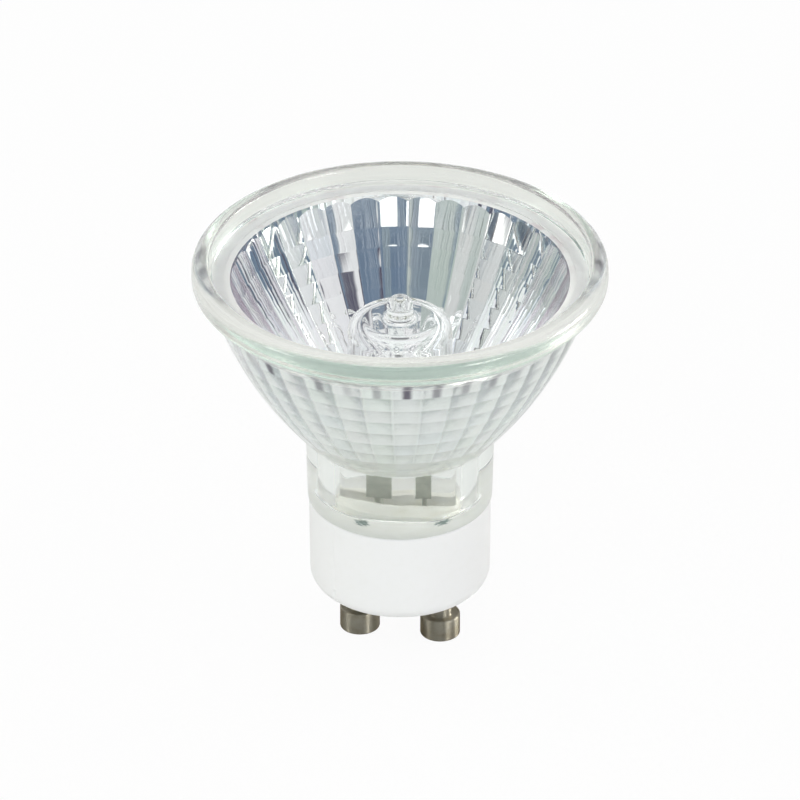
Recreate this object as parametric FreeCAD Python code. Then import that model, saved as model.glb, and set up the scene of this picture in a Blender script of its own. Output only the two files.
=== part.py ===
"""Mains halogen reflector lamp with a two-pin twist-lock base, in millimetres.

The lamp stands on its pin heads: Z = 0 is the plane of the pin tips, +Z runs along the lamp axis towards
the front glass, and the two pins lie on the X axis.
"""
import FreeCAD
import Part
import math
import os

Vec = FreeCAD.Vector
UP = Vec(0, 0, 1)
ORIGIN = Vec(0, 0, 0)

# Contact pins
pin_spacing = 10.0
pin_head_radius = 2.45
pin_head_height = 2.9
pin_head_round = 0.2
pin_shank_radius = 1.5
pin_free_length = 7.7
rivet_radius = 2.1
rivet_height = 0.6
rivet_round = 0.25

# Ceramic base
base_height = 12.0
base_bottom_radius = 11.0
base_top_radius = 11.1
base_edge_round = 2.0
base_top_round = 0.3
pocket_radius = 8.4
pocket_depth = 4.2
notch_width = 0.5
notch_depth = 0.35
notch_height = 2.6
notch_angle = -127.0

# Glass reflector: neck, bowl and rim
neck_bottom_radius = 11.25
neck_top_radius = 11.47
neck_height = 9.1
neck_edge_round = 0.3
bowl_height = 18.8
bowl_bulge = 1.17
rim_radius = 25.0
rim_flare = 2.3
rim_flare_height = 2.3
rim_band_height = 2.6
rim_under_round = 1.0
rim_top_round = 1.3
rim_inner_round = 0.45

# Recess for the front glass
rim_wall = 2.05
recess_depth = 3.3
recess_corner_round = 0.25
ledge_width = 2.55
front_glass_clearance = 0.3
front_glass_thickness = 1.5
front_glass_round = 0.25
bond_thickness = 0.15
bond_inset = 0.15
bond_width = 1.1

# Mirror facets: a shallow arc turned about the axis and cut into convex columns and flat rows
column_count = 36
column_turn = 1.5
row_count = 9
mirror_step = 0.28
mirror_bulge = 1.2
first_row_height = 3.74
column_bulge = 0.19
band_draft = 0.15
throat_radius = 6.8
throat_drop = 0.62

# Slot through the neck for the flat end of the capsule
slot_length = 12.4
slot_width = 7.4

# Quartz capsule
bulb_radius = 6.35
bulb_height = 15.1
bulb_floor_gap = 0.4
bulb_wall = 0.9
bulb_dome_round = 2.0
bulb_bottom_round = 2.6
pip_radius = 1.6
pip_height = 2.85
pip_round = 1.2
pip_foot_round = 0.7
pinch_width = 11.0
pinch_thickness = 3.2
pinch_corner_round = 0.8
pinch_reach = 0.5
pinch_overlap = 2.0

# Seals and wires inside the capsule
lead_offset = 1.65
foil_width = 1.7
foil_thickness = 0.12
foil_height = 4.5
foil_bottom_margin = 1.9
inner_lead_radius = 0.25
inner_lead_rise = 3.0
outer_lead_radius = 0.3
outer_lead_bend = 0.9
outer_lead_run_gap = 1.2
coil_radius = 0.45
coil_leg_height = 4.2
support_radius = 0.15
support_depth = 2.0
support_gap = 0.05

# Cement
cement_rise = 0.9
cement_tilt = 3.0

# Heights and radii worked out from the sizes above
base_bottom = pin_free_length
base_top = base_bottom + base_height
pocket_floor = base_top - pocket_depth
neck_bottom = base_top
neck_top = neck_bottom + neck_height
bowl_top = neck_top + bowl_height
bowl_top_radius = rim_radius - rim_flare
rim_bottom = bowl_top + rim_flare_height
rim_top = rim_bottom + rim_band_height
ledge_z = rim_top - recess_depth
recess_radius = rim_radius - rim_wall
band_radius = recess_radius - ledge_width
bond_top = ledge_z + bond_thickness
front_glass_top = bond_top + front_glass_thickness
front_glass_radius = recess_radius - front_glass_clearance
mirror_top = ledge_z
mirror_top_radius = band_radius + mirror_step
throat_floor = neck_top - throat_drop
bulb_bottom = throat_floor + bulb_floor_gap
bulb_top = bulb_bottom + bulb_height
bulb_inner_radius = bulb_radius - bulb_wall
bulb_floor = bulb_bottom + bulb_wall
pinch_top = bulb_bottom + pinch_overlap
pinch_bottom = neck_bottom - pinch_reach
foil_bottom = pinch_bottom + foil_bottom_margin
foil_top = foil_bottom + foil_height
filament_bottom = bulb_bottom + inner_lead_rise
filament_bend = filament_bottom + coil_leg_height
filament_underside = filament_bend + lead_offset - coil_radius
rivet_top = pocket_floor + rivet_height
lead_run_z = rivet_top + outer_lead_run_gap
cement_top = neck_bottom + cement_rise

SIDES = {"left": -1, "right": 1}


def corner_arc(before, corner, after, rounding):
    """Start, middle and end of the tangent arc that rounds one corner of a path."""
    to_before = (before - corner).normalize()
    to_after = (after - corner).normalize()
    half = to_before.getAngle(to_after) / 2
    reach = rounding / math.tan(half)
    middle = (to_before + to_after).normalize() * (rounding / math.sin(half) - rounding)
    return corner + to_before * reach, corner + middle, corner + to_after * reach


def bulged_arc(start, end, bulge):
    """Arc in the XZ plane that stands out from its chord, away from the axis, by the bulge."""
    chord = end - start
    outward = Vec(chord.z, 0, -chord.x).normalize()
    return Part.Arc(start, (start + end) * 0.5 + outward * bulge, end).toShape()


def turned(corners):
    """Solid of revolution from (radius, height, rounding) corners, in order round the section.

    A fourth number on a corner makes the edge that leaves it an arc with that bulge.
    """
    points = [Vec(corner[0], 0, corner[1]) for corner in corners]
    ends = []
    for index, corner in enumerate(corners):
        point = points[index]
        if corner[2] > 0:
            following = points[(index + 1) % len(points)]
            ends.append(corner_arc(points[index - 1], point, following, corner[2]))
        else:
            ends.append((point, None, point))
    edges = []
    for index, (start, middle, end) in enumerate(ends):
        following = ends[(index + 1) % len(ends)][0]
        if middle is not None:
            edges.append(Part.Arc(start, middle, end).toShape())
        if len(corners[index]) == 4:
            edges.append(bulged_arc(end, following, corners[index][3]))
        else:
            edges.append(Part.LineSegment(end, following).toShape())
    return Part.Face(Part.Wire(edges)).revolve(ORIGIN, UP, 360)


def upright(radius, bottom, top, x=0.0):
    """Upright cylinder at a place on the X axis."""
    return Part.makeCylinder(radius, top - bottom, Vec(x, 0, bottom))


def block(length, width, bottom, top, x=0.0):
    """Upright box centred on the X axis, its length along X."""
    corner = Vec(x - length / 2, -width / 2, bottom)
    return Part.makeBox(length, width, top - bottom, corner)


def slot_bar(bottom, top):
    """Bar with round ends that fills the slot in the neck."""
    end_x = (slot_length - slot_width) / 2
    bar = block(2 * end_x, slot_width, bottom, top)
    for side in SIDES.values():
        bar = bar.fuse(upright(slot_width / 2, bottom, top, side * end_x))
    return bar.removeSplitter()


def bent_wire(points, bend, radius):
    """Round wire along straight runs joined by tangent arcs."""
    path = []
    start = points[0]
    for before, corner, after in zip(points, points[1:], points[2:]):
        arc_start, arc_middle, arc_end = corner_arc(before, corner, after, bend)
        path.append(Part.LineSegment(start, arc_start).toShape())
        path.append(Part.Arc(arc_start, arc_middle, arc_end).toShape())
        start = arc_end
    path.append(Part.LineSegment(start, points[-1]).toShape())
    return swept_rod(path, radius)


def swept_rod(path, radius):
    """Round rod along a path of edges."""
    start = path[0].valueAt(path[0].FirstParameter)
    heading = path[0].tangentAt(path[0].FirstParameter)
    section = Part.Wire(Part.makeCircle(radius, start, heading))
    return Part.Wire(path).makePipeShell([section], True, False)


def column_section(radius, height):
    """Outline of the mirror at one height: one shallow arc, bulging towards the axis, for each column."""
    half_pitch = math.pi / column_count
    crown = radius * (1 - column_bulge / mirror_top_radius)
    edges = []
    for column in range(column_count):
        middle = math.radians(column_turn) + 2 * half_pitch * column
        marks = [(radius, middle - half_pitch), (crown, middle), (radius, middle + half_pitch)]
        points = [Vec(r * math.cos(angle), r * math.sin(angle), height) for r, angle in marks]
        edges.append(Part.Arc(*points).toShape())
    return Part.Wire(edges)


def mirror_radius(height):
    """Radius of the mirror's arc at one height."""
    throat = Vec(throat_radius, 0, throat_floor)
    top = Vec(mirror_top_radius, 0, mirror_top)
    circle = bulged_arc(throat, top, mirror_bulge).Curve
    return circle.Center.x + math.sqrt(circle.Radius ** 2 - (height - circle.Center.z) ** 2)


def mirror_cavity():
    """Space inside the facets, built row by row down the bowl; the columns run out on the smooth band."""
    row_height = (mirror_top - first_row_height - throat_floor) / (row_count - 1)
    heights = [mirror_top] + [throat_floor + row_height * row for row in reversed(range(row_count))]
    facets = Part.makeLoft([column_section(mirror_radius(z), z) for z in heights], True, True)
    depth = mirror_top - throat_floor
    band = Part.makeCone(band_radius - band_draft * depth, band_radius, depth, Vec(0, 0, throat_floor))
    return facets.common(band)


def make_reflector():
    """Pressed glass neck, bowl and rim in one piece, with the facets and the slot cut out."""
    blank = turned([
        (0, neck_bottom, 0),
        (neck_bottom_radius, neck_bottom, neck_edge_round),
        (neck_top_radius, neck_top, 0, bowl_bulge),
        (bowl_top_radius, bowl_top, 0),
        (rim_radius, rim_bottom, rim_under_round),
        (rim_radius, rim_top, rim_top_round),
        (recess_radius, rim_top, rim_inner_round),
        (recess_radius, ledge_z, recess_corner_round),
        (0, ledge_z, 0),
    ])
    glass = blank.cut(mirror_cavity())
    return glass.cut(slot_bar(neck_bottom, throat_floor))


def make_front_glass():
    """Flat cover disc, seated on its bond in the recess."""
    return turned([
        (0, bond_top, 0),
        (front_glass_radius, bond_top, front_glass_round),
        (front_glass_radius, front_glass_top, front_glass_round),
        (0, front_glass_top, 0),
    ])


def make_front_glass_seal():
    """Thin ring of bond between the ledge and the cover disc."""
    outer = front_glass_radius - front_glass_round - bond_inset
    inner = outer - bond_width
    return turned([
        (inner, ledge_z, 0),
        (outer, ledge_z, 0),
        (outer, bond_top, 0),
        (inner, bond_top, 0),
    ])


def make_base():
    """Ceramic cap with a rounded lower edge, a pocket for the leads and two pin holes."""
    cap = turned([
        (0, base_bottom, 0),
        (base_bottom_radius, base_bottom, base_edge_round),
        (base_top_radius, base_top, base_top_round),
        (pocket_radius, base_top, 0),
        (pocket_radius, pocket_floor, 0),
        (0, pocket_floor, 0),
    ])
    for side in SIDES.values():
        cap = cap.cut(upright(pin_shank_radius, base_bottom, pocket_floor, side * pin_spacing / 2))
    notch = block(2 * notch_depth, notch_width, base_bottom, base_bottom + notch_height, base_bottom_radius)
    notch.rotate(ORIGIN, UP, notch_angle)
    return cap.cut(notch)


def make_contact_pin(side):
    """Turned pin: head below, shank through the base, riveted over on the pocket floor."""
    pin = turned([
        (0, 0, 0),
        (pin_head_radius, 0, pin_head_round),
        (pin_head_radius, pin_head_height, pin_head_round),
        (pin_shank_radius, pin_head_height, 0),
        (pin_shank_radius, pocket_floor, 0),
        (rivet_radius, pocket_floor, 0),
        (rivet_radius, rivet_top, rivet_round),
        (0, rivet_top, 0),
    ])
    pin.translate(Vec(side * pin_spacing / 2, 0, 0))
    return pin


def make_foil(side):
    """Molybdenum foil strip that seals one current path through the pinch."""
    return block(foil_width, foil_thickness, foil_bottom, foil_top, side * lead_offset)


def make_inner_lead(side):
    """Wire from the foil up to the filament."""
    return upright(inner_lead_radius, foil_top, filament_bottom, side * lead_offset)


def make_outer_lead(side):
    """Wire from the foil down out of the pinch and across to its pin."""
    near = side * lead_offset
    far = side * pin_spacing / 2
    points = [
        Vec(near, 0, foil_bottom),
        Vec(near, 0, lead_run_z),
        Vec(far, 0, lead_run_z),
        Vec(far, 0, rivet_top),
    ]
    return bent_wire(points, outer_lead_bend, outer_lead_radius)


def make_filament():
    """Envelope of the coiled filament: two legs joined by a half turn at the top."""
    left_bend = Vec(-lead_offset, 0, filament_bend)
    right_bend = Vec(lead_offset, 0, filament_bend)
    crown = Vec(0, 0, filament_bend + lead_offset)
    path = [
        Part.LineSegment(Vec(-lead_offset, 0, filament_bottom), left_bend).toShape(),
        Part.Arc(left_bend, crown, right_bend).toShape(),
        Part.LineSegment(right_bend, Vec(lead_offset, 0, filament_bottom)).toShape(),
    ]
    return swept_rod(path, coil_radius)


def make_filament_support():
    """Straight wire, set in the pinch, that props the filament's half turn."""
    return upright(support_radius, bulb_floor - support_depth, filament_underside - support_gap)


def make_capsule(sealed_in):
    """Quartz bulb with its tip-off pip and flat pinch, hollow, with the sealed-in metal cut out."""
    pip_top = bulb_top + pip_height
    outside = turned([
        (0, bulb_bottom, 0),
        (bulb_radius, bulb_bottom, bulb_bottom_round),
        (bulb_radius, bulb_top, bulb_dome_round),
        (pip_radius, bulb_top, pip_foot_round),
        (pip_radius, pip_top, pip_round),
        (0, pip_top, 0),
    ])
    inside = turned([
        (0, bulb_floor, 0),
        (bulb_inner_radius, bulb_floor, bulb_bottom_round - bulb_wall),
        (bulb_inner_radius, bulb_top - bulb_wall, bulb_dome_round - bulb_wall),
        (0, bulb_top - bulb_wall, 0),
    ])
    pinch = block(pinch_width, pinch_thickness, pinch_bottom, pinch_top)
    upright_edges = [edge for edge in pinch.Edges if abs(edge.tangentAt(edge.FirstParameter).z) > 0.5]
    pinch = pinch.makeFillet(pinch_corner_round, upright_edges)
    quartz = outside.fuse(pinch).cut(inside)
    for metal in sealed_in:
        quartz = quartz.cut(metal)
    return quartz


def make_cement(held):
    """Cement that fills the base's pocket and the foot of the slot, shaped round what it holds."""
    fill = upright(pocket_radius, pocket_floor, base_top)
    lean = math.tan(math.radians(cement_tilt)) * slot_length
    foot = slot_bar(neck_bottom, cement_top + lean)
    spare = block(2 * slot_length, 2 * slot_width, cement_top, cement_top + 2 * slot_length)
    spare.rotate(Vec(0, 0, cement_top), Vec(0, 1, 0), cement_tilt)
    fill = fill.fuse(foot.cut(spare)).removeSplitter()
    for piece in held:
        fill = fill.cut(piece)
    return fill


def make_lamp():
    """Every piece of the lamp by name."""
    lamp = {
        "reflector": make_reflector(),
        "front_glass": make_front_glass(),
        "front_glass_seal": make_front_glass_seal(),
        "base": make_base(),
        "filament": make_filament(),
        "filament_support": make_filament_support(),
    }
    for name, side in SIDES.items():
        lamp["contact_pin_" + name] = make_contact_pin(side)
        lamp["foil_" + name] = make_foil(side)
        lamp["inner_lead_" + name] = make_inner_lead(side)
        lamp["outer_lead_" + name] = make_outer_lead(side)
    pinch_metal = ["foil_", "inner_lead_", "outer_lead_"]
    sealed_in = [lamp[kind + name] for kind in pinch_metal for name in SIDES]
    lamp["capsule"] = make_capsule(sealed_in + [lamp["filament_support"]])
    potted = [lamp[kind + name] for kind in ["outer_lead_", "contact_pin_"] for name in SIDES]
    lamp["cement"] = make_cement(potted + [lamp["capsule"]])
    return lamp


os.makedirs("parts", exist_ok=True)
for node, shape in make_lamp().items():
    shape.exportStep("parts/" + node + ".step")
    print(node, "volume", round(shape.Volume, 3), "valid", shape.isValid(), "solids", len(shape.Solids))
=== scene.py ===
# %% [markdown]
# # A mains reflector lamp, dressed for a picture
# The solids of the lamp come in as a fixed frame: pressed glass reflector, front glass, quartz capsule, ceramic
# base and two contact pins. This lesson gives each piece its fine shape and its material, then lights the lamp.

# %% Load the frame
import math

import bpy
import numpy as np
from mathutils import Matrix, Vector


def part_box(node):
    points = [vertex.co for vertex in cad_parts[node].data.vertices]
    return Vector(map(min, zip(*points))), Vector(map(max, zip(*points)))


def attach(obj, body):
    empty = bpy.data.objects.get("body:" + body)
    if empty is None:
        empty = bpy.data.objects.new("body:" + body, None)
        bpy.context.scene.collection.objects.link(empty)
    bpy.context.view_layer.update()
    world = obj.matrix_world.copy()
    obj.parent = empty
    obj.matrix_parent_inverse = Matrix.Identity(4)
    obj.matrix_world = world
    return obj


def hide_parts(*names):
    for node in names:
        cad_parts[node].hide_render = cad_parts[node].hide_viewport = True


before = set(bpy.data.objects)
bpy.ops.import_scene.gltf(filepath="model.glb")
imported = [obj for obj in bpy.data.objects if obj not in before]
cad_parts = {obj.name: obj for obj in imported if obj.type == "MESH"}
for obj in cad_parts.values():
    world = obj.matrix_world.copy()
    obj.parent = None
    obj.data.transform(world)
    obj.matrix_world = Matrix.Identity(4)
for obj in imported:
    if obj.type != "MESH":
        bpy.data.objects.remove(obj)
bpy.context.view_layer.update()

MM = 0.001
TOUCH = 1e-6

# %% [markdown]
# ## Sizes
# Heights and radii that a solid already has are read from its box, in millimetres, so that the dress fits the
# solids. The others follow the real lamp, and are named here or beside the one piece that needs them. The slot
# through the neck is an oblong with round ends, and the capsule's pinch stands in it.

# %% Sizes from the frame
def low(node, axis):
    """Lowest place of a node along an axis, in millimetres."""
    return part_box(node)[0][axis] / MM


def high(node, axis):
    """Highest place of a node along an axis, in millimetres."""
    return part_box(node)[1][axis] / MM


rim_top = high("reflector", 2)
rim_radius = high("reflector", 0)
neck_bottom = low("reflector", 2)
cover_bottom = low("front_glass", 2)
cover_top = high("front_glass", 2)
cover_radius = high("front_glass", 0)
ledge = low("front_glass_seal", 2)
bond_outer = high("front_glass_seal", 0)
base_bottom = low("base", 2)
base_top = high("base", 2)
pip_top = high("capsule", 2)
pinch_bottom = low("capsule", 2)
filament_bottom = low("filament", 2)
pocket_floor = low("cement", 2)
pin_offset = (low("contact_pin_right", 0) + high("contact_pin_right", 0)) / 2
pin_head = (high("contact_pin_right", 0) - low("contact_pin_right", 0)) / 2
pin_top = high("contact_pin_right", 2)
print("rim", rim_radius, rim_top, "base", base_bottom, base_top, "pins", pin_offset, pin_head)

# %% Sizes shared by several pieces
neck_length = 9.1
bowl_height = 18.8
flare_height = 2.3
rim_wall = 2.05
ledge_width = 2.55
slot_half = 6.2
slot_round = 3.7
pocket_radius = 8.4
pinch_half_length = 5.5
pinch_half_width = 1.6
pinch_power = 8

neck_top = neck_bottom + neck_length
bowl_top = neck_top + bowl_height
rim_bottom = bowl_top + flare_height
recess_radius = rim_radius - rim_wall
band_radius = recess_radius - ledge_width
print("neck", neck_bottom, neck_top, "bowl top", bowl_top, "recess", recess_radius, "band", band_radius)

# %% [markdown]
# ## Shapes from rings
# Every fine shape here is a stack of rings of points. A profile with rounded corners gives the rings of a
# turned piece, and one function skins any stack of rings with quads. Boolean cuts could make these shapes too,
# but rings give even quads, which glass and mirrors need for clean reflections.

# %% Profiles with rounded corners
def fillet(before, here, after, turn, steps):
    """Points of the arc that rounds one corner of a profile."""
    back = (before - here) / np.linalg.norm(before - here)
    on = (after - here) / np.linalg.norm(after - here)
    half = math.acos(np.clip(back @ on, -1, 1)) / 2
    middle = here + (back + on) / np.linalg.norm(back + on) * turn / math.sin(half)
    first = here + back * turn / math.tan(half) - middle
    last = here + on * turn / math.tan(half) - middle
    begin = math.atan2(first[1], first[0])
    sweep = math.atan2(first[0] * last[1] - first[1] * last[0], first @ last)
    angles = [begin + sweep * step / steps for step in range(steps + 1)]
    return [middle + turn * np.array([math.cos(angle), math.sin(angle)]) for angle in angles]


def swollen(here, there, bulge, steps=24):
    """Points between two corners, along a run that stands out from its chord."""
    chord = there - here
    outward = np.array([chord[1], -chord[0]]) / np.linalg.norm(chord)
    shares = [step / steps for step in range(1, steps)]
    return [here + chord * share + outward * bulge * 4 * share * (1 - share) for share in shares]


def rounded(corners, steps=8):
    """Points of a profile from (radius, height, rounding, bulge) corners; the last two may be left off."""
    points = [np.array(corner[:2], float) for corner in corners]
    path = []
    for index, corner in enumerate(corners):
        turn = corner[2] if len(corner) > 2 else 0
        if turn and 0 < index < len(corners) - 1:
            path += fillet(points[index - 1], points[index], points[index + 1], turn, steps)
        else:
            path.append(points[index])
        if len(corner) > 3:
            path += swollen(points[index], points[index + 1], corner[3])
    return path


def supported(path, gap=0.12):
    """The same profile with extra points near the ends of its long straight runs, to hold the shading."""
    full = [path[0]]
    for start, end in zip(path, path[1:]):
        length = np.linalg.norm(end - start)
        if length > 5 * gap:
            full.append(start + (end - start) * gap / length)
            full.append(end - (end - start) * gap / length)
        full.append(end)
    return full


print("profile helpers ready")

# %% Rings and their outlines
def full_turn(count):
    """So many even angles round the axis."""
    return np.linspace(0, 2 * math.pi, count, endpoint=False)


def ring(angles, radius, height):
    """Ring of points; radius and height are single numbers, or one for each angle."""
    return np.stack([radius * np.cos(angles), radius * np.sin(angles), height + np.zeros(len(angles))], 1)


def turn_rings(path, around):
    """Rings of a turned shape."""
    return np.array([ring(full_turn(around), r, z) for r, z in path])


def slot_outline(angles, half_width):
    """Radius at each angle of the neck's oblong slot, with its long sides so far from the axis."""
    flat = slot_half - slot_round
    c, s = np.abs(np.cos(angles)), np.abs(np.sin(angles))
    side = half_width / np.maximum(s, 1e-9)
    round_end = flat * c + np.sqrt(np.maximum(half_width ** 2 - (flat * s) ** 2, 0))
    return np.where(side * c <= flat, side, round_end)


def pinch_outline(angles, half_length, half_width, power):
    """Radius at each angle of a rounded oblong; a power of 2 gives an ellipse, a higher one squarer ends."""
    c, s = np.abs(np.cos(angles)), np.abs(np.sin(angles))
    return ((c / half_length) ** power + (s / half_width) ** power) ** (-1 / power)


print("ring helpers ready")

# %% Skin and hand over
def skin(name, rings, wrap=False, first=None, last=None):
    """Smooth quad mesh over rings of points in millimetres; first and last are points that close the ends."""
    count, around, _ = rings.shape
    points = list(rings.reshape(-1, 3) * MM)
    faces = []
    for index in range(count if wrap else count - 1):
        a = index * around
        b = (index + 1) % count * around
        for j in range(around):
            k = (j + 1) % around
            faces.append((a + j, a + k, b + k, b + j))
    for row, tip, step in ((0, first, -1), ((count - 1) * around, last, 1)):
        if tip is not None:
            points.append(np.array(tip, float) * MM)
            for j in range(around):
                faces.append((row + j, row + (j + 1) % around, len(points) - 1)[::step])
    mesh = bpy.data.meshes.new(name)
    mesh.from_pydata([tuple(p) for p in points], [], faces)
    mesh.polygons.foreach_set("use_smooth", [True] * len(faces))
    mesh.update()
    obj = bpy.data.objects.new(name, mesh)
    bpy.context.scene.collection.objects.link(obj)
    return obj


def lathe(name, corners, around, steps=8):
    """Turned solid whose profile starts and ends on the axis."""
    path = supported(rounded(corners, steps))
    rings = turn_rings(path[1:-1], around)
    return skin(name, rings, first=(0, 0, path[0][1]), last=(0, 0, path[-1][1]))


def take(obj, node, slot, *materials):
    """The finished piece stands for a node of the frame, which it hides, and takes the given materials."""
    for material in materials:
        obj.data.materials.append(material)
    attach(obj, "root")
    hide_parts(node)
    print(obj.name, "faces", len(obj.data.polygons))


print("skin helpers ready")

# %% [markdown]
# ## Patterns
# Three small node groups make the patterns of the surfaces: a mottle, the fine lines that turning leaves on
# metal, and the tint of each facet. They put out only colours, masks and normals; each material keeps its own
# shader.

# %% Node helpers
def new_group(name, inputs, outputs):
    """Empty node group with its sockets, and the nodes that stand for its inputs and outputs."""
    group = bpy.data.node_groups.new(name, "ShaderNodeTree")
    for label, kind, value in inputs:
        socket = group.interface.new_socket(label, in_out="INPUT", socket_type=kind)
        socket.default_value = value
    for label, kind in outputs:
        group.interface.new_socket(label, in_out="OUTPUT", socket_type=kind)
    return group, group.nodes.new("NodeGroupInput"), group.nodes.new("NodeGroupOutput")


def add(tree, kind, values=None, **settings):
    """New node with its settings, and its inputs by number or name; a socket as a value is linked."""
    node = tree.nodes.new(kind)
    for key, value in settings.items():
        setattr(node, key, value)
    for key, value in (values or {}).items():
        if isinstance(value, bpy.types.NodeSocket):
            tree.links.new(value, node.inputs[key])
        else:
            node.inputs[key].default_value = value
    return node


def math_node(tree, operation, a, b=0.0):
    """Result of one sum on numbers or sockets."""
    return add(tree, "ShaderNodeMath", {0: a, 1: b}, operation=operation).outputs[0]


def blend_colour(tree, mask, a, b):
    """Colour a where the mask is 0, colour b where it is 1."""
    return add(tree, "ShaderNodeMix", {"Factor": mask, 6: a, 7: b}, data_type="RGBA").outputs[2]


def new_material(name, values):
    """Material with plain values on its shader; its node tree and shader come with it."""
    material = bpy.data.materials.new(name)
    material.use_nodes = True
    shader = material.node_tree.nodes["Principled BSDF"]
    for label, value in values.items():
        shader.inputs[label].default_value = value
    return material, material.node_tree, shader


def use_group(tree, group, values):
    """Node group placed in a tree with its own values."""
    return add(tree, "ShaderNodeGroup", values, node_tree=group)


print("node helpers ready")

# %% Mottle
mottle, inside, outside = new_group(
    "mottle",
    [("Light", "NodeSocketColor", (1, 1, 1, 1)), ("Dark", "NodeSocketColor", (0.5, 0.5, 0.5, 1)),
     ("Scale", "NodeSocketFloat", 300.0), ("Low", "NodeSocketFloat", 0.4), ("High", "NodeSocketFloat", 0.7),
     ("Bump", "NodeSocketFloat", 0.1)],
    [("Color", "NodeSocketColor"), ("Mask", "NodeSocketFloat"), ("Normal", "NodeSocketVector")])
place = add(mottle, "ShaderNodeTexCoord")
noise = add(mottle, "ShaderNodeTexNoise", {"Vector": place.outputs["Object"], "Detail": 4.0,
                                           "Scale": inside.outputs["Scale"], "Roughness": 0.6})
mask = add(mottle, "ShaderNodeMapRange", {
    "Value": noise.outputs["Fac"],
    "From Min": inside.outputs["Low"],
    "From Max": inside.outputs["High"],
}, interpolation_type="SMOOTHSTEP")
colour = blend_colour(mottle, mask.outputs[0], inside.outputs["Light"], inside.outputs["Dark"])
bump = add(mottle, "ShaderNodeBump", {"Strength": inside.outputs["Bump"], "Distance": 0.1 * MM,
                                      "Height": noise.outputs["Fac"]})
mottle.links.new(colour, outside.inputs["Color"])
mottle.links.new(mask.outputs[0], outside.inputs["Mask"])
mottle.links.new(bump.outputs[0], outside.inputs["Normal"])
print("group", mottle.name)

# %% [markdown]
# Turning leaves rings round each pin, on its sides and on its flat ends. The distance from the pin's axis plus
# the height grows along both, so noise along that one number draws the lines on all of them.

# %% Turning lines
turning, inside, outside = new_group(
    "turning lines",
    [("Pitch", "NodeSocketFloat", 0.00012), ("Strength", "NodeSocketFloat", 0.1)],
    [("Normal", "NodeSocketVector")])
place = add(turning, "ShaderNodeTexCoord")
split = add(turning, "ShaderNodeSeparateXYZ", {0: place.outputs["Object"]})
across = math_node(turning, "SUBTRACT", math_node(turning, "ABSOLUTE", split.outputs[0]), pin_offset * MM)
square = math_node(turning, "ADD", math_node(turning, "MULTIPLY", across, across),
                   math_node(turning, "MULTIPLY", split.outputs[1], split.outputs[1]))
reach = math_node(turning, "ADD", math_node(turning, "SQRT", square), split.outputs[2])
line = add(turning, "ShaderNodeTexNoise", {"W": math_node(turning, "DIVIDE", reach, inside.outputs["Pitch"]),
                                           "Scale": 1.0, "Detail": 3.0}, noise_dimensions="1D")
bump = add(turning, "ShaderNodeBump", {"Strength": inside.outputs["Strength"], "Distance": 0.03 * MM,
                                       "Height": line.outputs["Fac"]})
turning.links.new(bump.outputs[0], outside.inputs["Normal"])
print("group", turning.name)

# %% [markdown]
# The coating inside the bowl is a stack of thin films. Its colour changes from silver to lilac, slate and pale
# green from tile to tile, so the third group numbers the columns and rows and draws a tint for each tile. It
# also marks the middle of some tiles of the top row for a painted dark reflection, deep violet through the
# glass.

# %% Coating tint
columns = 36
column_turn = math.radians(1.5)
rows = 9
throat_floor = neck_top - 0.62
first_row_end = ledge - 3.74
row_height = (first_row_end - throat_floor) / (rows - 1)

coating_tint, inside, outside = new_group(
    "coating tint",
    [(label, "NodeSocketColor", (0.9, 0.9, 0.9, 1)) for label in ("Silver", "Cool", "Warm", "Green")],
    [("Color", "NodeSocketColor"), ("Painted Reflection", "NodeSocketFloat")])
place = add(coating_tint, "ShaderNodeTexCoord")
split = add(coating_tint, "ShaderNodeSeparateXYZ", {0: place.outputs["Object"]})
angle = math_node(coating_tint, "ARCTAN2", split.outputs[1], split.outputs[0])
angle = math_node(coating_tint, "SUBTRACT", angle, column_turn)
count = math_node(coating_tint, "MULTIPLY", angle, columns / (2 * math.pi))
column = math_node(coating_tint, "ROUND", count)
down = math_node(coating_tint, "SUBTRACT", first_row_end * MM, split.outputs[2])
row = math_node(coating_tint, "FLOOR", math_node(coating_tint, "DIVIDE", down, row_height * MM))
tile = add(coating_tint, "ShaderNodeCombineXYZ", {0: column, 1: row})
by_tile = add(coating_tint, "ShaderNodeTexWhiteNoise", {"Vector": tile.outputs[0]}, noise_dimensions="2D")
by_column = add(coating_tint, "ShaderNodeTexWhiteNoise", {"W": column}, noise_dimensions="1D")
picks = add(coating_tint, "ShaderNodeSeparateColor", {0: by_tile.outputs["Color"]})
streaks = add(coating_tint, "ShaderNodeSeparateColor", {0: by_column.outputs["Color"]})
colour = inside.outputs["Silver"]
for channel, label in enumerate(("Cool", "Warm", "Green")):
    share = math_node(coating_tint, "MULTIPLY", picks.outputs[channel], streaks.outputs[channel])
    colour = blend_colour(coating_tint, share, colour, inside.outputs[label])
coating_tint.links.new(colour, outside.inputs["Color"])

# Painted dark reflection: a mask for the middle of some tiles of the top row, which turn deep violet.
top_row = math_node(coating_tint, "LESS_THAN", row, -0.5)
off_middle = math_node(coating_tint, "ABSOLUTE", math_node(coating_tint, "SUBTRACT", count, column))
middle = add(coating_tint, "ShaderNodeMapRange", {"Value": off_middle, "From Min": 0.24, "From Max": 0.04},
             interpolation_type="SMOOTHSTEP")
painted_reflection = math_node(coating_tint, "MULTIPLY", middle.outputs[0], streaks.outputs[0])
painted_reflection = math_node(coating_tint, "MULTIPLY", top_row, painted_reflection)
coating_tint.links.new(painted_reflection, outside.inputs["Painted Reflection"])
print("group", coating_tint.name)

# %% [markdown]
# ## Materials
# The reflector is clear pressed glass with a faint green body colour. Its rim and slot are a little rough from
# the mould, the ledge under the cover carries stray coating, and cement leaves a film under the neck. The other
# finishes are flat front glass, quartz, the bond line, white ceramic, cream cement, nickel, molybdenum and
# tungsten. Clear glass needs only plain values; the others take their colour from the mottle.

# %% Clear glasses
crown_ior = 1.51
quartz_ior = 1.46
cover_ior = 1.3


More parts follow.
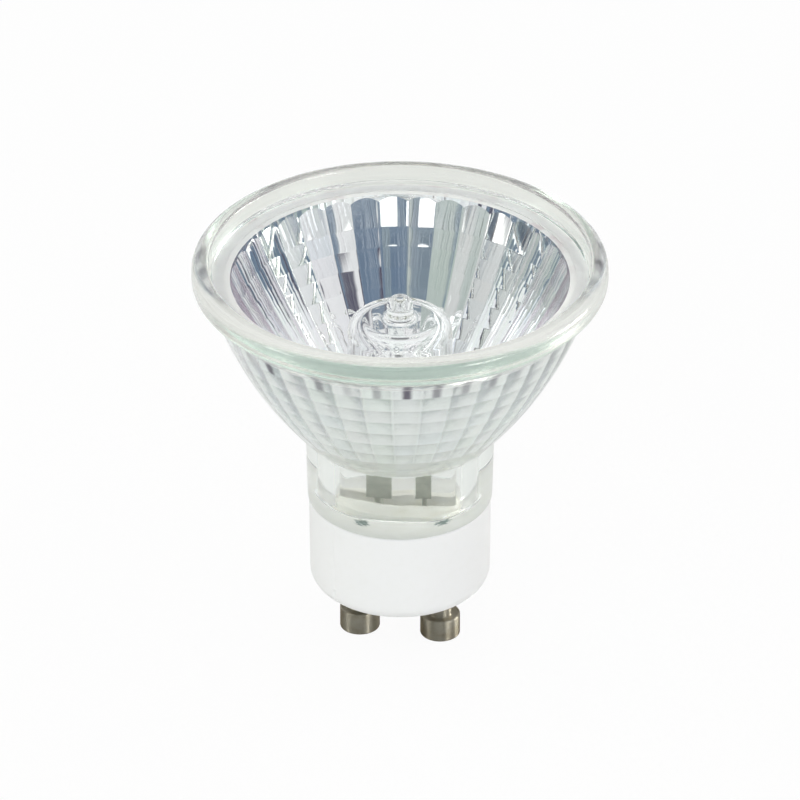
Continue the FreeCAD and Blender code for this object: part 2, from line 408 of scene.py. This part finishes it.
def clear_glass(name, ior, colour=(1, 1, 1, 1), roughness=0.0):
    """Glass that all its light goes through."""
    material, _, _ = new_material(name, {"Base Color": colour, "Roughness": roughness, "IOR": ior,
                                         "Transmission Weight": 1.0})
    return material


pressed_glass = clear_glass("pressed glass", crown_ior, (0.94, 0.975, 0.95, 1))
rim_glass = clear_glass("rim glass", crown_ior, (0.925, 0.94, 0.9, 1), 0.18)
frosted = clear_glass("slot glass", crown_ior, roughness=0.1)
quartz = clear_glass("quartz", quartz_ior)
cover_glass = clear_glass("cover glass", cover_ior)
tree = cover_glass.node_tree
body_tint = add(tree, "ShaderNodeVolumeAbsorption", {"Color": (0.32, 0.78, 0.69, 1), "Density": 8.0})
tree.links.new(body_tint.outputs[0], tree.nodes["Material Output"].inputs["Volume"])
print("glasses", pressed_glass.name, rim_glass.name, frosted.name, quartz.name, cover_glass.name)

# %% Mottled finishes
def mottled(name, values, light, dark, scale, low_mark, high_mark, bump):
    """Material whose colour and surface both follow the mottle."""
    material, tree, shader = new_material(name, values)
    pattern = use_group(tree, mottle, {"Light": light, "Dark": dark, "Scale": scale, "Low": low_mark,
                                       "High": high_mark, "Bump": bump})
    tree.links.new(pattern.outputs["Color"], shader.inputs["Base Color"])
    tree.links.new(pattern.outputs["Normal"], shader.inputs["Normal"])
    return material


ledge_glass = mottled("ledge glass", {"IOR": crown_ior, "Roughness": 0.45, "Transmission Weight": 0.2},
                      light=(0.98, 0.98, 0.96, 1), dark=(0.8, 0.74, 0.74, 1),
                      scale=260.0, low_mark=0.5, high_mark=0.66, bump=0.3)
bond = mottled("bond line", {"IOR": 1.48, "Roughness": 0.45, "Transmission Weight": 0.6},
               light=(0.97, 0.97, 0.97, 1), dark=(1, 1, 1, 1),
               scale=1600.0, low_mark=0.55, high_mark=0.68, bump=0.5)
ceramic = mottled("ceramic", {"Roughness": 0.5},
                  light=(0.95, 0.95, 0.94, 1), dark=(0.935, 0.935, 0.92, 1),
                  scale=900.0, low_mark=0.45, high_mark=0.75, bump=0.04)
cement_look = mottled("cement", {"Roughness": 0.9},
                      light=(0.97, 0.955, 0.88, 1), dark=(0.92, 0.9, 0.8, 1),
                      scale=700.0, low_mark=0.4, high_mark=0.7, bump=0.8)
molybdenum = mottled("molybdenum", {"Metallic": 0.6, "Roughness": 0.45},
                     light=(0.42, 0.44, 0.38, 1), dark=(0.32, 0.34, 0.29, 1),
                     scale=800.0, low_mark=0.35, high_mark=0.65, bump=0.2)
tungsten = mottled("tungsten", {"Metallic": 0.9, "Roughness": 0.35},
                   light=(0.4, 0.4, 0.41, 1), dark=(0.24, 0.24, 0.25, 1),
                   scale=900.0, low_mark=0.35, high_mark=0.65, bump=0.2)
print("mottled", ledge_glass.name, bond.name, ceramic.name, cement_look.name, molybdenum.name, tungsten.name)

# %% [markdown]
# The coating is a bright mirror from inside the bowl. Its back, seen through the pressed glass, is softer, so
# Backfacing chooses between two roughnesses and lets the painted dark reflections, deep violet, show only
# there.
# Backfacing chooses between two roughnesses and lets the violet marks show only there.

# %% Coating
face_roughness = 0.02
back_roughness = 0.17
coating, tree, shader = new_material("coating", {"Metallic": 1.0, "Specular Tint": (0.92, 0.87, 0.9, 1)})
tint = use_group(tree, coating_tint, {"Silver": (0.93, 0.94, 0.94, 1), "Cool": (0.84, 0.88, 0.93, 1),
                                      "Warm": (0.91, 0.89, 0.91, 1), "Green": (0.88, 0.92, 0.9, 1)})
from_behind = add(tree, "ShaderNodeNewGeometry").outputs["Backfacing"]
# Painted dark reflection: deep violet mixed into the coating's colour, only on its back.
painted_reflection_share = math_node(tree, "MULTIPLY", tint.outputs["Painted Reflection"], from_behind)
colour = blend_colour(tree, painted_reflection_share, tint.outputs["Color"], (0.06, 0.04, 0.09, 1))
softer = add(tree, "ShaderNodeMapRange", {"Value": from_behind, "To Min": face_roughness,
                                          "To Max": back_roughness})
tree.links.new(colour, shader.inputs["Base Color"])
tree.links.new(softer.outputs[0], shader.inputs["Roughness"])
print("coating", coating.name)

# %% [markdown]
# Under the neck the cement shows through a thin film, with two ragged dark green dabs on the near side. Each
# dab is a stretched distance from its middle, roughened by fine grain.

# %% Cement film
dab_middles = ((-2.85, -5.5), (4.95, -4.3))
dab_stretch = (1.0, 0.6, 0.0)
dab_outer = 1.0 * MM
dab_inner = 0.6 * MM
dab_grain = 0.6 * MM
foot_film, tree, shader = new_material("cement film", {"Roughness": 0.5, "Transmission Weight": 0.3,
                                                       "IOR": crown_ior})
film = use_group(tree, mottle, {"Light": (0.97, 0.97, 0.93, 1), "Dark": (0.93, 0.93, 0.87, 1),
                                "Scale": 500.0, "Low": 0.35, "High": 0.7})
grain = use_group(tree, mottle, {"Scale": 2600.0})
place = add(tree, "ShaderNodeTexCoord")
colour = film.outputs["Color"]
for x, y in dab_middles:
    middle = (x * MM, y * MM, neck_bottom * MM)
    off = add(tree, "ShaderNodeVectorMath", {0: place.outputs["Object"], 1: middle}, operation="SUBTRACT")
    off = add(tree, "ShaderNodeVectorMath", {0: off.outputs[0], 1: dab_stretch}, operation="MULTIPLY")
    away = add(tree, "ShaderNodeVectorMath", {0: off.outputs[0]}, operation="LENGTH").outputs["Value"]
    ragged = math_node(tree, "ADD", away, math_node(tree, "MULTIPLY", grain.outputs["Mask"], dab_grain))
    dab = add(tree, "ShaderNodeMapRange", {"Value": ragged, "From Min": dab_outer, "From Max": dab_inner})
    colour = blend_colour(tree, dab.outputs[0], colour, (0.015, 0.1, 0.075, 1))
tree.links.new(colour, shader.inputs["Base Color"])
print("film", foot_film.name, "dabs", len(dab_middles))

# %% [markdown]
# Turned nickel spreads its highlights along the pin, across the turning lines. Anisotropy with a tangent that
# runs round the axis gives that spread, and the turning lines break it up.

# %% Nickel
nickel, tree, shader = new_material("nickel", {"Metallic": 1.0, "Roughness": 0.4, "Anisotropic": 0.9,
                                               "Anisotropic Rotation": 0.25,
                                               "Specular Tint": (0.35, 0.26, 0.18, 1)})
stain = use_group(tree, mottle, {"Light": (0.36, 0.34, 0.28, 1), "Dark": (0.26, 0.235, 0.18, 1),
                                 "Scale": 420.0, "Low": 0.4, "High": 0.75})
lines = use_group(tree, turning, {"Pitch": 0.11 * MM, "Strength": 0.2})
round_it = add(tree, "ShaderNodeTangent", direction_type="RADIAL", axis="Z")
tree.links.new(round_it.outputs[0], shader.inputs["Tangent"])
tree.links.new(stain.outputs["Color"], shader.inputs["Base Color"])
tree.links.new(lines.outputs["Normal"], shader.inputs["Normal"])
print("metal", nickel.name)

# %% [markdown]
# ## The reflector
# One closed loop of rings makes the whole piece: along the neck's foot, up the outside, over the rim, down into
# the recess, down the facets, across the throat and back down the slot. Each column of facets bulges inward,
# each row is flat, and pressing leaves every tile a little uneven. The smooth band above cuts the columns off
# in a row of arches.

# %% Facets
across_column = np.array([-1, -0.86, -0.7, -0.42, -0.14, 0.14, 0.42, 0.7, 0.86])
down_row = (0, 0.04, 0.15, 0.38, 0.62, 0.85, 0.96)
per_column = len(across_column)
around = columns * per_column
column_width = 2 * math.pi / columns
facet_angles = np.concatenate([(column + across_column / 2) * column_width for column in range(columns)])
facet_angles += column_turn
crown = 1 - np.tile(across_column, columns) ** 2
row_heights = [ledge] + list(first_row_end - row_height * np.arange(rows))
mirror_radius = band_radius + 0.28
throat_radius = 6.8
mirror_bulge = 1.2
column_bulge = 0.19
tile_swell = 0.035
band_draft = 0.15
uneven = np.random.default_rng(11)


def mirror_arc(height):
    """Radius of the mirror at one height: a shallow arc that stands out from its chord."""
    chord = np.array([mirror_radius - throat_radius, ledge - throat_floor])
    half = np.linalg.norm(chord) / 2
    bend = (half ** 2 + mirror_bulge ** 2) / (2 * mirror_bulge)
    outward = np.array([chord[1], -chord[0]]) / (2 * half)
    centre = np.array([throat_radius, throat_floor]) + chord / 2 - outward * (bend - mirror_bulge)
    return centre[0] + math.sqrt(bend ** 2 - (height - centre[1]) ** 2)


def facet_ring(radius, height, bulge):
    """Ring of columns that bulge inward, less so where the mirror is narrower."""
    return ring(facet_angles, radius - bulge * crown * radius / mirror_radius, height)


facet_rings = []
for row in range(rows):
    z0, z1 = row_heights[row:row + 2]
    r0, r1 = mirror_arc(z0), mirror_arc(z1)
    top = 0
    if row == 0:
        top = (r0 - column_bulge * crown - band_radius) / (r0 - r1 - band_draft * (z0 - z1))
    swell = np.repeat(uneven.uniform(0, tile_swell, columns), per_column)
    lean = np.repeat(uneven.uniform(-tile_swell, tile_swell, columns), per_column)
    lean = lean * np.tile(across_column, columns)
    for step in down_row:
        share = top + (1 - top) * step
        pillow = column_bulge + (swell + lean) * 4 * step * (1 - step)
        facet_rings.append(facet_ring(r0 + (r1 - r0) * share, z0 + (z1 - z0) * share, pillow))
facet_rings.append(facet_ring(throat_radius, throat_floor, column_bulge))
print("facets", columns * rows, "rings", len(facet_rings))

# %% Outside of the reflector
foot = neck_bottom + 0.02
neck_foot_radius = 11.25
neck_top_radius = 11.47
bowl_bulge = 1.17
flare_width = 2.3
outer = supported(rounded([
    (10.0, foot),
    (neck_foot_radius, foot, 0.3),
    (neck_top_radius, neck_top, 0, bowl_bulge),
    (rim_radius - flare_width, bowl_top),
    (rim_radius, rim_bottom, 1.0),
    (rim_radius, rim_top, 1.3),
    (recess_radius, rim_top, 0.45),
    (recess_radius, ledge, 0.25),
    (band_radius, ledge),
]), 0.15)


def outer_finish(start, end):
    """Finish of the outside between two points of its profile."""
    if start[1] + end[1] < 2 * foot + TOUCH:
        return foot_film
    if start[1] < bowl_top - TOUCH:
        return pressed_glass
    on_ledge = end[1] < ledge + TOUCH and end[0] < recess_radius
    return ledge_glass if on_ledge else rim_glass


print("outer profile", len(outer), "points")

# %% The whole reflector
def slot_ring(height, grow=0.0):
    """Ring round the slot; it grows where its edges are softened."""
    return ring(facet_angles, slot_outline(facet_angles, slot_round + grow), height)


rings = [slot_ring(foot, 0.25)]
rings += [ring(facet_angles, r, z) for r, z in outer]
finishes = [foot_film]
finishes += [outer_finish(start, end) for start, end in zip(outer, outer[1:])]

band_top = rings[-1]
smooth_band = [band_top + (facet_rings[0] - band_top) * share for share in (0.08, 0.5, 0.92)]
band_start = len(rings) - 1
facet_start = len(rings) + len(smooth_band)
facet_end = facet_start + len(facet_rings) - 1
sharp_rings = {band_start, facet_start, facet_end}
rings += smooth_band + facet_rings
finishes += [coating] * (len(smooth_band) + len(facet_rings))

rings += [ring(facet_angles, throat_radius - 0.2, throat_floor), slot_ring(throat_floor, 0.25)]
finishes += [pressed_glass] * 2
slot_steps = ((throat_floor - 0.08, 0.08), (throat_floor - 0.25, 0), (throat_floor - 0.5, 0),
              (foot + 0.5, 0), (foot + 0.25, 0), (foot + 0.08, 0.08))
rings += [slot_ring(height, grow) for height, grow in slot_steps]
finishes += [frosted] * (len(slot_steps) + 1)
reflector = skin("reflector_glass", np.array(rings), wrap=True)

for edge in reflector.data.edges:
    ring_a, ring_b = (vertex // around for vertex in edge.vertices)
    edge.use_edge_sharp = ring_a == ring_b and ring_a in sharp_rings
glasses = [pressed_glass, rim_glass, ledge_glass, coating, frosted, foot_film]
for index, face in enumerate(reflector.data.polygons):
    face.material_index = glasses.index(finishes[index // around])
take(reflector, "reflector", "reflector_glass", *glasses)

# %% [markdown]
# ## Front glass and bond line
# The cover is a flat disc with softened edges. A thin speckled ring holds it to the ledge. A cylinder with a
# bevel would do for the disc; the turned profile gives the same edge in one step.

# %% Front glass and bond line
round_steps = 192
cover = lathe("cover_disc", [
    (0, cover_bottom),
    (cover_radius, cover_bottom, 0.25),
    (cover_radius, cover_top, 0.25),
    (0, cover_top),
], round_steps, 6)
take(cover, "front_glass", "cover_glass", cover_glass)

bond_width = 1.1
bond_gap = 0.02
bond_inner = bond_outer - bond_width
bond_path = ((bond_inner, ledge + bond_gap), (bond_outer, ledge + bond_gap),
             (bond_outer, cover_bottom - bond_gap), (bond_inner, cover_bottom - bond_gap))
seal = skin("bond_ring", turn_rings(bond_path, round_steps), wrap=True)
seal.data.polygons.foreach_set("use_smooth", [False] * len(seal.data.polygons))
take(seal, "front_glass_seal", "bond", bond)

# %% [markdown]
# ## The quartz capsule
# A round bulb, pressed flat at its foot and drawn to a pip on top. Its rings change from a rounded oblong to a
# circle, and a second skin, turned inside out, makes the hollow. Joined in one piece, the two skins bound a
# real wall of quartz, so light bends through it as it does through the bulb.

# %% Quartz capsule
bulb_radius = 6.35
bulb_bottom = neck_top - 0.22
bulb_top = bulb_bottom + 15.1
shoulder = 3.0
quartz_wall = 0.9
pip_radius = 1.6
capsule_around = 128
capsule_angles = full_turn(capsule_around)


def oblong_ring(height, half_length, half_width, power):
    """Ring of the capsule between pinch and bulb."""
    return ring(capsule_angles, pinch_outline(capsule_angles, half_length, half_width, power), height)


pinch_foot = pinch_bottom + 0.02
stack = [oblong_ring(pinch_foot, pinch_half_length - 0.4, pinch_half_width - 0.4, 6),
         oblong_ring(pinch_foot + 0.12, pinch_half_length - 0.12, pinch_half_width - 0.12, 7),
         oblong_ring(pinch_foot + 0.4, pinch_half_length, pinch_half_width, pinch_power)]
for height in np.linspace(pinch_foot + 1, bulb_bottom - 0.6, 8):
    stack.append(oblong_ring(height, pinch_half_length, pinch_half_width, pinch_power))
for share in np.arange(13) / 12:
    swell = math.sqrt(1 - (1 - share) ** 2)
    stack.append(oblong_ring(bulb_bottom - 0.3 + shoulder * share,
                             pinch_half_length + (bulb_radius - pinch_half_length) * swell,
                             pinch_half_width + (bulb_radius - pinch_half_width) * swell,
                             pinch_power + (2 - pinch_power) * swell))
dome = supported(rounded([
    (bulb_radius, bulb_bottom + shoulder),
    (bulb_radius, bulb_top, 2.0),
    (pip_radius, bulb_top, 0.7),
    (pip_radius, pip_top, 1.2),
    (0, pip_top),
], 12), 0.2)
stack += [ring(capsule_angles, max(r, 0.02), z) for r, z in dome[1:-1]]
capsule = skin("capsule_quartz", np.array(stack), first=(0, 0, pinch_foot), last=(0, 0, pip_top))

hollow_radius = bulb_radius - quartz_wall
hollow_bottom = bulb_bottom + quartz_wall
hollow_top = bulb_top - quartz_wall
hollow_path = supported(rounded([
    (0, hollow_bottom),
    (hollow_radius, hollow_bottom, 1.9),
    (hollow_radius, hollow_top, 1.1),
    (0, hollow_top),
], 10), 0.2)
hollow_rings = turn_rings(hollow_path[1:-1], capsule_around)[::-1]
hollow = skin("capsule_hollow", hollow_rings, first=(0, 0, hollow_top), last=(0, 0, hollow_bottom))
with bpy.context.temp_override(active_object=capsule, selected_editable_objects=[capsule, hollow]):
    bpy.ops.object.join()
take(capsule, "capsule", "quartz", quartz)

# %% [markdown]
# ## Filament
# The solid filament is only the envelope of a fine coil, so a real coil takes its place: a helix along two legs
# and the half turn that joins them. A curve with a bevel would do as well, but a stack of small rings gives the
# same quads as the other pieces.

# %% Filament coil
envelope_radius = 0.45
coil_radius = 0.37
wire_radius = 0.07
coil_pitch = 0.24
steps_per_turn = 12
wire_sides = 6
leg_x = (high("filament", 0) - low("filament", 0)) / 2 - envelope_radius
bend_z = high("filament", 2) - envelope_radius - leg_x
leg = bend_z - filament_bottom
arc = math.pi * leg_x
coil_length = 2 * leg + arc
turns = coil_length / coil_pitch


def along(distance):
    """Point and sideways direction of the coil's centre line at a distance from its left foot."""
    if distance < leg:
        return np.array([-leg_x, 0, filament_bottom + distance]), np.array([-1.0, 0, 0])
    if distance < leg + arc:
        turned = (distance - leg) / leg_x
        side = np.array([-math.cos(turned), 0, math.sin(turned)])
        return np.array([0, 0, bend_z]) + side * leg_x, side
    return np.array([leg_x, 0, bend_z - (distance - leg - arc)]), np.array([1.0, 0, 0])


wire = []
samples = int(turns * steps_per_turn)
for index in range(samples + 1):
    share = index / samples
    centre, side = along(coil_length * share)
    spin = 2 * math.pi * turns * share
    wire.append(centre + coil_radius * (math.cos(spin) * side + math.sin(spin) * np.array([0, 1.0, 0])))
wire = np.array(wire)
heading = np.gradient(wire, axis=0)
heading /= np.linalg.norm(heading, axis=1)[:, None]
off_heading = np.array([0.31, 0.43, 0.85])
wide = np.cross(heading, off_heading)
wide /= np.linalg.norm(wide, axis=1)[:, None]
tall = np.cross(heading, wide)
coil_rings = np.stack([wire + wire_radius * (math.cos(a) * wide + math.sin(a) * tall)
                       for a in full_turn(wire_sides)], 1)
coil = skin("filament_coil", coil_rings, first=wire[0], last=wire[-1])
take(coil, "filament", "tungsten", tungsten)

# %% [markdown]
# The foils and wires are plain enough as solids. They stay in the frame and only take their material.

# %% Foils and wires
wire_nodes = ("filament_support", "foil_left", "foil_right", "inner_lead_left", "inner_lead_right",
              "outer_lead_left", "outer_lead_right")
for node in wire_nodes:
    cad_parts[node].data.materials.clear()
    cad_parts[node].data.materials.append(molybdenum)
print("filament turns", round(turns), "solids kept as they are", len(wire_nodes))

# %% [markdown]
# ## Cement
# Cream cement fills the pocket of the base and creeps a little way up the slot, higher on the left and against
# the walls. Its top is a band of rings from the slot's wall to the pinch, lifted by a few waves.

# %% Cement
cement_bottom = pocket_floor + 0.05
cement_creep = 0.75
cement_lean = 0.05
pinch_gap = 0.06
cement_angles = full_turn(144)
slot_edge = slot_outline(cement_angles, slot_round - 0.03)
pinch_edge = pinch_outline(cement_angles, pinch_half_length + pinch_gap, pinch_half_width + pinch_gap,
                           pinch_power)
lumps = np.random.default_rng(7)
wobble = sum(lumps.uniform(0.02, 0.06) * np.cos(n * cement_angles + lumps.uniform(0, 6)) for n in range(2, 9))


def cement_top(radius, rise):
    """Height of the cement's top at each angle."""
    return neck_bottom + cement_creep - cement_lean * radius * np.cos(cement_angles) + rise + wobble


cement_path = [(pocket_radius - 0.1, cement_bottom), (pocket_radius - 0.05, cement_bottom + 0.1),
               (pocket_radius - 0.05, neck_bottom - 0.1), (pocket_radius - 0.1, neck_bottom - 0.03),
               (slot_edge, neck_bottom - 0.02), (slot_edge, cement_top(slot_edge, -0.1))]
for share, rise in ((0.08, -0.02), (0.25, -0.12), (0.5, -0.1), (0.75, 0.1), (0.92, 0.3), (1.0, 0.42)):
    radius = slot_edge + (pinch_edge - slot_edge) * share
    cement_path.append((radius, cement_top(radius, rise)))
cement_path += [(pinch_edge, pinch_bottom), (pinch_edge * 0.9, pinch_bottom - 0.03)]
cement_rings = np.array([ring(cement_angles, radius, height) for radius, height in cement_path])
cement = skin("cement_fill", cement_rings, first=(0, 0, cement_bottom), last=(0, 0, pinch_bottom - 0.05))
take(cement, "cement", "cement", cement_look)

# %% [markdown]
# ## Base and pins
# The ceramic base is turned, with a rounded lower edge, a pocket and one small mould notch. The pins are turned
# too: a flat head, a slimmer shank, and a riveted end inside the pocket. The notch is pressed into the rings of
# the base by drawing in the few points that lie in it, which a boolean cut would do less evenly.

# %% Ceramic base
base_low_radius = 11.0
base_notch_radius = 11.02
base_top_radius = 11.1
notch = math.radians(-127)
notch_half = 1.2
notch_depth = 0.3
notch_top = base_bottom + 2.65
notch_fade = 0.3
notch_steps = np.radians([-1.9, -1.6, -1.3, -1.0, -0.5, 0.0, 0.5, 1.0, 1.3, 1.6, 1.9])
even_steps = np.linspace(-math.pi, math.pi, 192, endpoint=False)
base_angles = np.sort(np.concatenate([even_steps, notch + notch_steps]))
groove = np.clip(1.5 - np.abs(np.degrees(base_angles - notch)) / notch_half, 0, 1)
base_path = supported(rounded([
    (0, base_bottom),
    (base_low_radius, base_bottom, 2.0),
    (base_notch_radius, notch_top - notch_fade),
    (base_notch_radius, notch_top),
    (base_top_radius, base_top, 0.3),
    (pocket_radius, base_top, 0.1),
    (pocket_radius, pocket_floor, 0.1),
    (0, pocket_floor),
], 10), 0.2)
base_rings = []
for r, z in base_path[1:-1]:
    outside_wall = r > pocket_radius + 0.2
    depth = notch_depth * groove * outside_wall * np.clip((notch_top - z) / notch_fade, 0, 1)
    base_rings.append(ring(base_angles, r - depth, z))
base = skin("base_ceramic", np.array(base_rings), first=(0, 0, base_bottom), last=(0, 0, pocket_floor))
take(base, "base", "ceramic", ceramic)

# %% Contact pins
head_height = 2.9
shank_radius = 1.5
rivet_radius = 2.1
for label, x in (("left", -pin_offset), ("right", pin_offset)):
    pin = lathe("pin_" + label, [
        (0, 0),
        (pin_head, 0, 0.2),
        (pin_head, head_height, 0.2),
        (shank_radius, head_height, 0.08),
        (shank_radius, pocket_floor),
        (rivet_radius, pocket_floor),
        (rivet_radius, pin_top, 0.25),
        (0, pin_top),
    ], 96)
    pin.data.transform(Matrix.Translation((x * MM, 0, 0)))
    take(pin, "contact_pin_" + label, "nickel", nickel)

# %% [markdown]
# ## Stage, light and camera
# A mirror shows its room, so the room is part of the picture. The lamp stands in a white tent whose walls carry
# grey, slate and white panels: they give the facets their tones. A few low strips show only in reflections
# and draw the bands on the pins. The floor is a pale grey that the camera sees as white, and it keeps a soft
# shadow.

# %% Floor
floor_white = 0.94
floor_white_through_glass = 0.35
bpy.ops.mesh.primitive_plane_add(size=4.0, location=(0, 0, -0.02 * MM))
floor = bpy.context.object
floor.name = "floor"
floor_look, tree, shader = new_material("floor", {"Base Color": (0.78, 0.78, 0.77, 1), "Roughness": 0.9,
                                                  "Specular IOR Level": 0.0})
ray = add(tree, "ShaderNodeLightPath")
through_glass = math_node(tree, "MULTIPLY", ray.outputs["Is Transmission Ray"], floor_white_through_glass)
seen = math_node(tree, "MAXIMUM", ray.outputs["Is Camera Ray"], through_glass)
glow = add(tree, "ShaderNodeEmission", {"Color": (1, 1, 1, 1), "Strength": 1.0})
mixed = add(tree, "ShaderNodeMixShader", {0: math_node(tree, "MULTIPLY", seen, floor_white),
                                          1: shader.outputs[0], 2: glow.outputs[0]})
tree.links.new(mixed.outputs[0], tree.nodes["Material Output"].inputs["Surface"])
floor.data.materials.append(floor_look)
print("floor ready")

# %% [markdown]
# A panel is a soft-edged rectangle on the sky. Its place is a turn from the camera's side and a rise above the
# floor, both in degrees, so that panels can be moved about as cards on stands would be.

# %% Panel mask
camera_turn = 9.2
camera_rise = 30.9


def toward(turn, rise):
    """Unit direction, turned from the camera's side by so many degrees and raised by so many."""
    turn = math.radians(camera_turn + turn)
    rise = math.radians(rise)
    return Vector((math.sin(turn) * math.cos(rise), -math.cos(turn) * math.cos(rise), math.sin(rise)))


window, inside, outside = new_group(
    "window",
    [("Turn", "NodeSocketFloat", 0.0), ("Rise", "NodeSocketFloat", 0.0), ("At Turn", "NodeSocketFloat", 0.0),
     ("At Rise", "NodeSocketFloat", 0.0), ("Half Turn", "NodeSocketFloat", 20.0),
     ("Half Rise", "NodeSocketFloat", 20.0), ("Soft", "NodeSocketFloat", 4.0)],
    [("Mask", "NodeSocketFloat")])
beside = math_node(window, "SUBTRACT", inside.outputs["Turn"], inside.outputs["At Turn"])
beside = add(window, "ShaderNodeMath", {0: beside, 1: 180.0, 2: -180.0}, operation="WRAP").outputs[0]
above = math_node(window, "SUBTRACT", inside.outputs["Rise"], inside.outputs["At Rise"])
masks = []
for distance, half in ((beside, inside.outputs["Half Turn"]), (above, inside.outputs["Half Rise"])):
    edge = add(window, "ShaderNodeMapRange", {
        "Value": math_node(window, "ABSOLUTE", distance),
        "From Min": math_node(window, "ADD", half, inside.outputs["Soft"]),
        "From Max": math_node(window, "SUBTRACT", half, inside.outputs["Soft"]),
    }, interpolation_type="SMOOTHSTEP")
    masks.append(edge.outputs[0])
window.links.new(math_node(window, "MULTIPLY", *masks), outside.inputs["Mask"])
print("group", window.name)

# %% Panels: name, turn, rise, half turn, half rise, softness, colour
tent_white = (1.1, 1.1, 1.09, 1)
panels = [
    ("left side", -70, 23, 50, 20.5, 3, (0.72, 0.73, 0.71, 1)),
    ("right side", 75, 23, 38, 20.5, 3, (0.95, 0.94, 0.96, 1)),
    ("left top", -55, 72, 40, 13, 3, (1.8, 1.8, 1.8, 1)),
    ("behind", 180, 33, 28, 14, 6, (0.2, 0.2, 0.21, 1)),
    ("slate", 17, 28, 19, 15.5, 1.5, (0.15, 0.22, 0.32, 1)),
    ("dark corner", 42, 35, 8, 9.5, 2, (0.09, 0.085, 0.135, 1)),
    ("slate grey", -14, 28, 13, 15.5, 2, (0.22, 0.29, 0.35, 1)),
    ("grey green", -38, 28, 13, 15.5, 3, (0.52, 0.58, 0.55, 1)),
    ("white card", -4.5, 15, 12.5, 5.5, 0.7, (2.0, 2.0, 2.0, 1)),
    ("small window", -62, 38, 9, 4, 0.7, (2.2, 2.2, 2.2, 1)),
    ("lit strip", 96, 24, 2.5, 11, 1, (1.7, 1.7, 1.7, 1)),
    ("brown strip", 105, 24, 6, 21, 1.5, (0.045, 0.025, 0.035, 1)),
    ("brown edge", 126, 31, 5, 14, 2, (0.5, 0.46, 0.49, 1)),
    ("grey strip", -97, 24, 5, 18, 1, (0.04, 0.04, 0.04, 1)),
    ("lit edge", -106, 30, 3, 12, 1, (1.5, 1.5, 1.5, 1)),
    ("grey edge", -124, 31, 6, 14, 2, (0.5, 0.5, 0.49, 1)),
]
mirrored_strips = [
    ("low left", -50, 2, 75, 9, 3, (0.05, 0.045, 0.04, 1)),
    ("low lit left", -66, 2, 6, 9, 2, (10.0, 9.8, 9.4, 1)),
    ("low lit", 44, 2, 9, 9, 3, (15.0, 14.8, 14.2, 1)),
    ("low lit edge", 100, 2, 11, 9, 2, (28.0, 27.5, 26.5, 1)),
]
print("panels", len(panels), "strips seen in reflections only", len(mirrored_strips))

# %% Tent
world = bpy.data.worlds.new("tent")
bpy.context.scene.world = world
world.use_nodes = True
tree = world.node_tree
tree.nodes.clear()
place = add(tree, "ShaderNodeTexCoord")
split = add(tree, "ShaderNodeSeparateXYZ", {0: place.outputs["Generated"]})
turn = math_node(tree, "ARCTAN2", split.outputs[0], math_node(tree, "MULTIPLY", split.outputs[1], -1.0))
turn = math_node(tree, "SUBTRACT", math_node(tree, "DEGREES", turn), camera_turn)
rise = math_node(tree, "DEGREES", math_node(tree, "ARCSINE", split.outputs[2]))
ray = add(tree, "ShaderNodeLightPath")
colour = tent_white
for panel in panels + mirrored_strips:
    label, at_turn, at_rise, half_turn, half_rise, soft, shade = panel
    card = use_group(tree, window, {"Turn": turn, "Rise": rise, "At Turn": at_turn, "At Rise": at_rise,
                                    "Half Turn": half_turn, "Half Rise": half_rise, "Soft": soft})
    card.label = label
    mask = card.outputs["Mask"]
    if panel in mirrored_strips:
        mask = math_node(tree, "MULTIPLY", mask, ray.outputs["Is Glossy Ray"])
    colour = blend_colour(tree, mask, colour, shade)
walls = add(tree, "ShaderNodeBackground", {"Color": colour, "Strength": 1.0})
backdrop = add(tree, "ShaderNodeBackground", {"Color": (1, 1, 1, 1), "Strength": 1.0})
mixed = add(tree, "ShaderNodeMixShader", {0: ray.outputs["Is Camera Ray"], 1: walls.outputs[0],
                                          2: backdrop.outputs[0]})
output = add(tree, "ShaderNodeOutputWorld")
tree.links.new(mixed.outputs[0], output.inputs["Surface"])
print("tent", world.name)

# %% Front fill
def set_up(obj, aim, turn, rise, distance):
    """Put a light or camera at a distance from its aim, facing it."""
    obj.location = aim + toward(turn, rise) * distance
    obj.rotation_euler = (aim - obj.location).to_track_quat("-Z", "Y").to_euler()
    bpy.context.scene.collection.objects.link(obj)


softbox = bpy.data.lights.new("front fill", "AREA")
softbox.shape = "RECTANGLE"
softbox.size = 0.7
softbox.size_y = 0.5
softbox.energy = 1.7
fill = bpy.data.objects.new("front fill", softbox)
fill.visible_glossy = False
fill.visible_transmission = False
set_up(fill, Vector((0, 0, 0.03)), -12, 40, 1.0)
print("one softbox", softbox.energy, "W")

# %% [markdown]
# Light crosses many faces of glass here, and a path that is cut short leaves a dark line. So the path lengths
# are generous, and the filter that blurs glossy paths is off, because it darkens what stands behind the glass.

# %% Camera and render settings
scene = bpy.context.scene
scene.view_settings.view_transform = "Standard"
scene.cycles.use_denoising = True
scene.cycles.max_bounces = 96
scene.cycles.diffuse_bounces = 24
scene.cycles.transmission_bounces = 96
scene.cycles.glossy_bounces = 64
scene.cycles.blur_glossy = 0.0
scene.cycles.transparent_max_bounces = 16
lens = bpy.data.cameras.new("camera")
lens.sensor_width = 36.0
lens.lens = 334.35
lens.clip_start = 0.01
camera = bpy.data.objects.new("camera", lens)
set_up(camera, Vector((0, 0, 0.03278)), 0, camera_rise, 0.9)
scene.camera = camera
print("camera at", tuple(round(v, 4) for v in camera.location))
